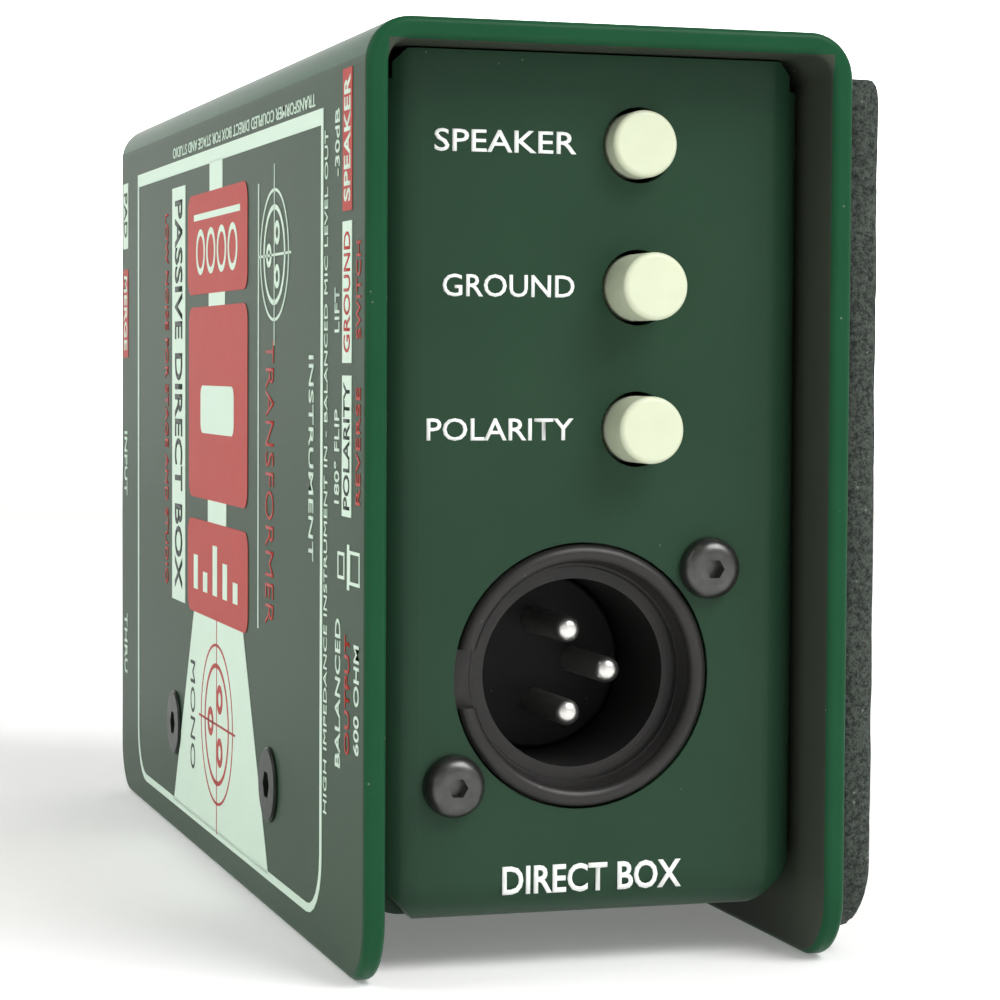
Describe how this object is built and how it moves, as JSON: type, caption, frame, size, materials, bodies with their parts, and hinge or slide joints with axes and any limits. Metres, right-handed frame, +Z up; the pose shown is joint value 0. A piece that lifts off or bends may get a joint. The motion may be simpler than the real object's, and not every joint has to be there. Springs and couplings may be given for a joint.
{
  "type": "direct injection box",
  "caption": "Passive direct injection box: folded steel cover over a steel chassis, XLR output, latching push buttons, twin jacks and a board-mounted transformer.",
  "frame": {"origin": "middle of the outer box on the surface that the cover's two long edges stand on", "axes": "+Z up to the cover's closed spine, -Y out of the output and button end, +Y out of the jack end, +X out of the padded side"},
  "size_m": [0.0492, 0.127, 0.084],
  "materials": {
    "cover_paint": "semi-matte dark green powder paint with printed panel graphics",
    "chassis_paint": "smooth dark green enamel",
    "foam_rubber": "closed-cell foam rubber, fine open grain",
    "black_oxide": "black oxide steel",
    "zinc_steel": "bright zinc-plated steel",
    "cast_shell": "black plated die-cast zinc",
    "black_moulding": "black glass-filled moulding",
    "silver_contact": "silver-plated, polished",
    "tinned_brass": "tinned brass",
    "nickel": "bright nickel plating",
    "cap_ivory": "pale ivory moulding, light gloss",
    "plunger_white": "natural acetal",
    "spring_wire": "music wire",
    "housing_black": "black switch moulding",
    "board_green": "green solder mask on glass-epoxy",
    "can_metal": "annealed nickel alloy can",
    "core_metal": "nickel-iron laminations",
    "bobbin_nylon": "natural nylon",
    "winding_copper": "enamelled copper wire",
    "resistor_coat": "pale blue lacquer with colour bands",
    "capacitor_box": "red box film capacitor",
    "ink_pale": "pale mint screen ink",
    "ink_white": "white screen ink",
    "ink_red": "red screen ink",
    "ink_dark": "dark green screen ink"
  },
  "bodies": {
    "box": {"clinch_nuts": "zinc_steel", "cover_screws": "black_oxide", "cover_shell": "cover_paint", "filter_capacitor": "capacitor_box", "ground_return_spring": "spring_wire", "ground_switch_housing": "housing_black", "ground_switch_terminals": "tinned_brass", "inner_chassis": "chassis_paint", "input_jack_body": "housing_black", "input_jack_bushing": "nickel", "input_jack_nut": "nickel", "input_jack_sleeve_contact": "tinned_brass", "input_jack_tip_contact": "tinned_brass", "input_jack_washer": "nickel", "main_board": "board_green", "merge_return_spring": "spring_wire", "merge_switch_housing": "housing_black", "merge_switch_terminals": "tinned_brass", "no_slip_pad": "foam_rubber", "pad_resistors": "resistor_coat", "pad_return_spring": "spring_wire", "pad_switch_housing": "housing_black", "pad_switch_terminals": "tinned_brass", "polarity_return_spring": "spring_wire", "polarity_switch_housing": "housing_black", "polarity_switch_terminals": "tinned_brass", "speaker_return_spring": "spring_wire", "speaker_switch_housing": "housing_black", "speaker_switch_terminals": "tinned_brass", "thru_jack_body": "housing_black", "thru_jack_bushing": "nickel", "thru_jack_nut": "nickel", "thru_jack_sleeve_contact": "tinned_brass", "thru_jack_tip_contact": "tinned_brass", "thru_jack_washer": "nickel", "transformer_base": "black_moulding", "transformer_bobbin": "bobbin_nylon", "transformer_can": "can_metal", "transformer_core": "core_metal", "transformer_pins": "tinned_brass", "transformer_primary_winding": "winding_copper", "transformer_secondary_winding": "winding_copper", "xlr_insert": "black_moulding", "xlr_pin_1": "silver_contact", "xlr_pin_2": "silver_contact", "xlr_pin_3": "silver_contact", "xlr_screws": "black_oxide", "xlr_shell": "cast_shell", "xlr_solder_tails": "tinned_brass"},
    "speaker_button": {"speaker_button_cap": "cap_ivory", "speaker_switch_plunger": "plunger_white"},
    "ground_button": {"ground_button_cap": "cap_ivory", "ground_switch_plunger": "plunger_white"},
    "polarity_button": {"polarity_button_cap": "cap_ivory", "polarity_switch_plunger": "plunger_white"},
    "pad_button": {"pad_button_cap": "cap_ivory", "pad_switch_plunger": "plunger_white"},
    "merge_button": {"merge_button_cap": "cap_ivory", "merge_switch_plunger": "plunger_white"}
  },
  "joints": [
    {"name": "speaker_press", "type": "slide", "parent": "box", "child": "speaker_button", "axis": [0, 1, 0], "range_m": [-0.0027, 0.0008], "stiffness_N_per_m": 500, "deforming": ["speaker_return_spring"]},
    {"name": "ground_press", "type": "slide", "parent": "box", "child": "ground_button", "axis": [0, 1, 0], "range_m": [0, 0.0035], "stiffness_N_per_m": 500, "springref_m": -0.002, "deforming": ["ground_return_spring"]},
    {"name": "polarity_press", "type": "slide", "parent": "box", "child": "polarity_button", "axis": [0, 1, 0], "range_m": [0, 0.0035], "stiffness_N_per_m": 500, "springref_m": -0.002, "deforming": ["polarity_return_spring"]},
    {"name": "pad_press", "type": "slide", "parent": "box", "child": "pad_button", "axis": [0, -1, 0], "range_m": [0, 0.0035], "stiffness_N_per_m": 500, "springref_m": -0.002, "deforming": ["pad_return_spring"]},
    {"name": "merge_press", "type": "slide", "parent": "box", "child": "merge_button", "axis": [0, -1, 0], "range_m": [0, 0.0035], "stiffness_N_per_m": 500, "springref_m": -0.002, "deforming": ["merge_return_spring"]}
  ]
}
